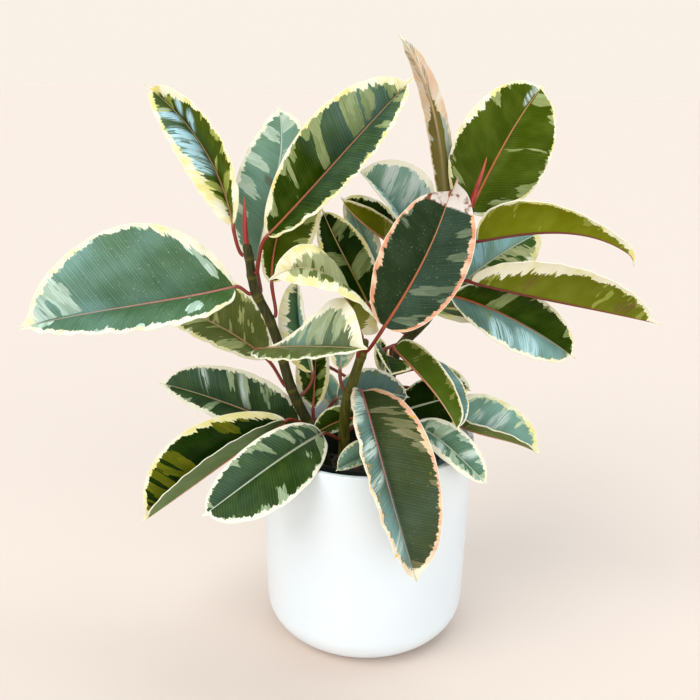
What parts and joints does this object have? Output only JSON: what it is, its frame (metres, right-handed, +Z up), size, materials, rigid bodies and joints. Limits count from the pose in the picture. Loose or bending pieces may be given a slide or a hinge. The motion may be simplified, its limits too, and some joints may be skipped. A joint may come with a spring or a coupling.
{
  "type": "potted rubber plant",
  "caption": "Variegated rubber plant with broad glossy leaves on bent canes, growing in an inner pot that stands in a plain round planter with a rounded base.",
  "frame": {"origin": "centre of the planter's flat base, on the floor", "axes": "+Z up; -Y towards the side that the picture shows; +X to the right from there"},
  "size_m": [0.5979, 0.2708, 0.6051],
  "materials": {
    "planter": "satin",
    "inner_pot": "satin",
    "soil": "matte",
    "cane": "satin",
    "sheath": "satin",
    "leaf_green": "gloss",
    "leaf_olive": "satin",
    "leaf_grey": "satin",
    "leaf_cream": "satin"
  },
  "bodies": {
    "root": {"planter": "planter", "inner_pot": "inner_pot", "soil": "soil", "cane_left": "cane", "cane_middle": "cane", "cane_right": "cane", "sheath_left": "sheath", "sheath_right": "sheath", "leaf_left_1": "leaf_green", "leaf_left_2": "leaf_green", "leaf_left_3": "leaf_green", "leaf_left_4": "leaf_green", "leaf_left_5": "leaf_grey", "leaf_left_6": "leaf_green", "leaf_middle_1": "leaf_cream", "leaf_middle_2": "leaf_green", "leaf_middle_3": "leaf_green", "leaf_middle_4": "leaf_green", "leaf_middle_5": "leaf_grey", "leaf_middle_6": "leaf_green", "leaf_right_1": "leaf_olive", "leaf_right_2": "leaf_green", "leaf_right_3": "leaf_olive", "leaf_right_4": "leaf_olive", "leaf_right_5": "leaf_green", "leaf_right_6": "leaf_grey", "leaf_right_7": "leaf_olive", "leaf_back_1": "leaf_grey", "leaf_back_2": "leaf_green", "leaf_back_3": "leaf_grey", "leaf_back_4": "leaf_green", "leaf_low_right_1": "leaf_olive", "leaf_low_right_2": "leaf_green", "leaf_low_right_3": "leaf_green", "leaf_low_right_4": "leaf_green", "leaf_low_right_5": "leaf_green", "leaf_low_right_6": "leaf_green", "leaf_low_right_7": "leaf_green", "leaf_low_right_8": "leaf_green", "leaf_low_left_1": "leaf_green", "leaf_low_left_2": "leaf_green", "leaf_low_left_3": "leaf_green", "leaf_low_left_4": "leaf_green", "leaf_front_1": "leaf_green", "leaf_inner_1": "leaf_green", "leaf_inner_2": "leaf_olive", "leaf_inner_3": "leaf_grey"}
  },
  "joints": []
}
